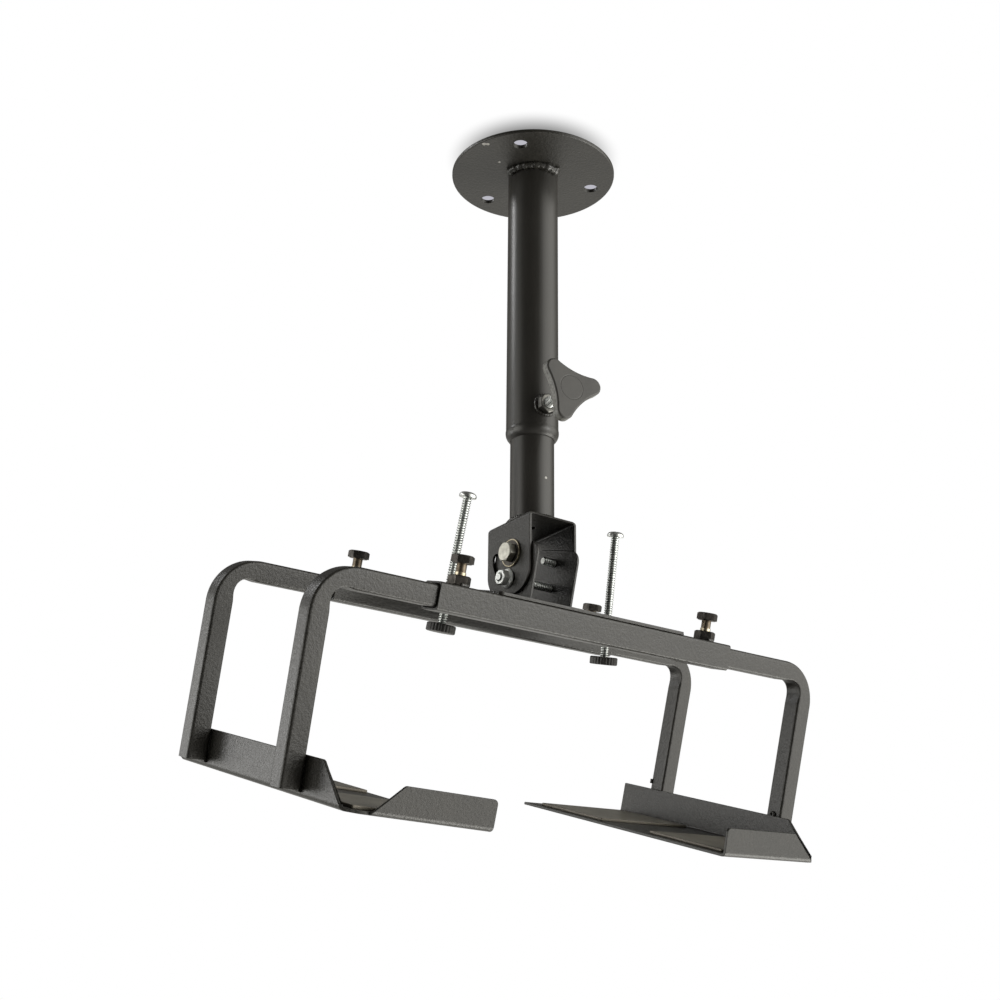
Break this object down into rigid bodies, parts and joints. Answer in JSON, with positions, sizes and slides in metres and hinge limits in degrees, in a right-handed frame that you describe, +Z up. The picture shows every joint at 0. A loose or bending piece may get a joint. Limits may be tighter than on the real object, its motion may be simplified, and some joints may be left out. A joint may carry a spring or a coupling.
{
  "type": "projector ceiling mount",
  "caption": "Telescopic ceiling mount with a tilting and swivelling head whose sliding cradles and screw feet grip a projector.",
  "frame": {"origin": "centre of the ceiling plate's top face, on the mast's axis", "axes": "+Z up into the ceiling, along the mast; +X along the rails and the tilt axis, from the left cradle to the right one; +Y away from the clamp knob"},
  "size_m": [0.427, 0.2172, 0.5149],
  "materials": {
    "black_powder_coat": "fine wrinkled matt powder coat",
    "white_zinc": "bright zinc plate",
    "yellow_zinc": "yellow passivated zinc plate",
    "blackened_steel": "black coated fasteners, worn to metal on the threads",
    "black_plastic": "fine moulded texture",
    "rubber_pad": "matt sheet rubber",
    "nylon": "plain natural nylon"
  },
  "bodies": {
    "ceiling_mast": {"ceiling_plate": "black_powder_coat", "outer_tube": "black_powder_coat", "plate_weld": "black_powder_coat", "clamp_nut": "blackened_steel"},
    "clamp_screw": {"clamp_stud": "white_zinc", "clamp_knob": "black_plastic"},
    "slide_bush": {"slide_bush": "nylon"},
    "inner_mast": {"inner_tube": "black_powder_coat", "bracket_weld": "black_powder_coat", "upper_bracket": "black_powder_coat"},
    "tilt_head": {"lower_bracket": "black_powder_coat", "lock_bolt": "white_zinc", "lock_nut": "white_zinc", "left_pivot_bolt": "yellow_zinc", "left_pivot_washer": "yellow_zinc", "right_pivot_bolt": "yellow_zinc", "right_pivot_washer": "yellow_zinc", "cross_plate": "black_powder_coat", "front_rail": "black_powder_coat", "back_rail": "black_powder_coat", "front_left_nut": "blackened_steel", "front_right_nut": "blackened_steel", "back_left_nut": "blackened_steel", "back_right_nut": "blackened_steel", "left_press_nut": "black_powder_coat", "right_press_nut": "black_powder_coat"},
    "left_cradle": {"left_front_arm": "black_powder_coat", "left_back_arm": "black_powder_coat", "left_tray": "black_powder_coat", "left_near_pad": "rubber_pad", "left_far_pad": "rubber_pad"},
    "right_cradle": {"right_front_arm": "black_powder_coat", "right_back_arm": "black_powder_coat", "right_tray": "black_powder_coat", "right_near_pad": "rubber_pad", "right_far_pad": "rubber_pad"},
    "front_left_bolt": {"front_left_clamp_bolt": "blackened_steel"},
    "front_right_bolt": {"front_right_clamp_bolt": "blackened_steel"},
    "back_left_bolt": {"back_left_clamp_bolt": "blackened_steel"},
    "back_right_bolt": {"back_right_clamp_bolt": "blackened_steel"},
    "left_press_foot": {"left_press_foot": "black_plastic"},
    "left_press_screw": {"left_press_screw": "white_zinc"},
    "right_press_foot": {"right_press_foot": "black_plastic"},
    "right_press_screw": {"right_press_screw": "white_zinc"}
  },
  "joints": [
    {"name": "mast_height", "type": "slide", "parent": "ceiling_mast", "child": "slide_bush", "axis": [0, 0, 1], "range_m": [-0.104, 0.059]},
    {"name": "mast_swivel", "type": "hinge", "parent": "slide_bush", "child": "inner_mast", "pos_m": [0, 0, -0.15], "axis": [0, 0, 1], "range_deg": [-90, 90]},
    {"name": "head_tilt", "type": "hinge", "parent": "inner_mast", "child": "tilt_head", "pos_m": [0, -0.004, -0.3124], "axis": [1, 0, 0], "range_deg": [-15, 75]},
    {"name": "clamp_knob_turn", "type": "hinge", "parent": "ceiling_mast", "child": "clamp_screw", "pos_m": [0, 0, -0.201], "axis": [-0.1564, -0.9877, 0], "range_deg": [0, 720]},
    {"name": "left_cradle_reach", "type": "slide", "parent": "tilt_head", "child": "left_cradle", "axis": [-1, 0, 0], "range_m": [-0.043, 0.04]},
    {"name": "right_cradle_reach", "type": "slide", "parent": "tilt_head", "child": "right_cradle", "axis": [1, 0, 0], "range_m": [-0.05, 0.033]},
    {"name": "front_left_bolt_turn", "type": "hinge", "parent": "tilt_head", "child": "front_left_bolt", "pos_m": [-0.1065, -0.06017, -0.36472], "axis": [0, -0.2588, 0.9659], "range_deg": [0, 720]},
    {"name": "front_right_bolt_turn", "type": "hinge", "parent": "tilt_head", "child": "front_right_bolt", "pos_m": [0.1065, -0.06017, -0.36472], "axis": [0, -0.2588, 0.9659], "range_deg": [0, 720]},
    {"name": "back_left_bolt_turn", "type": "hinge", "parent": "tilt_head", "child": "back_left_bolt", "pos_m": [-0.1065, 0.0625, -0.33185], "axis": [0, -0.2588, 0.9659], "range_deg": [0, 720]},
    {"name": "back_right_bolt_turn", "type": "hinge", "parent": "tilt_head", "child": "back_right_bolt", "pos_m": [0.1065, 0.0625, -0.33185], "axis": [0, -0.2588, 0.9659], "range_deg": [0, 720]},
    {"name": "left_press_travel", "type": "slide", "parent": "tilt_head", "child": "left_press_foot", "axis": [0.0349, -0.2587, 0.9653], "range_m": [-0.06, 0.012]},
    {"name": "left_press_turn", "type": "hinge", "parent": "left_press_foot", "child": "left_press_screw", "pos_m": [-0.0705, 0.00116, -0.34829], "axis": [0.0349, -0.2587, 0.9653], "range_deg": [-21640, 4360]},
    {"name": "right_press_travel", "type": "slide", "parent": "tilt_head", "child": "right_press_foot", "axis": [-0.0837, -0.2579, 0.9625], "range_m": [-0.06, 0.012]},
    {"name": "right_press_turn", "type": "hinge", "parent": "right_press_foot", "child": "right_press_screw", "pos_m": [0.0705, 0.00116, -0.34829], "axis": [-0.0837, -0.2579, 0.9625], "range_deg": [-21640, 4360]}
  ],
  "couplings": [
    {"joint": "left_press_turn", "follows": "left_press_travel", "rad_per_m": 6283.2},
    {"joint": "right_press_turn", "follows": "right_press_travel", "rad_per_m": 6283.2}
  ]
}
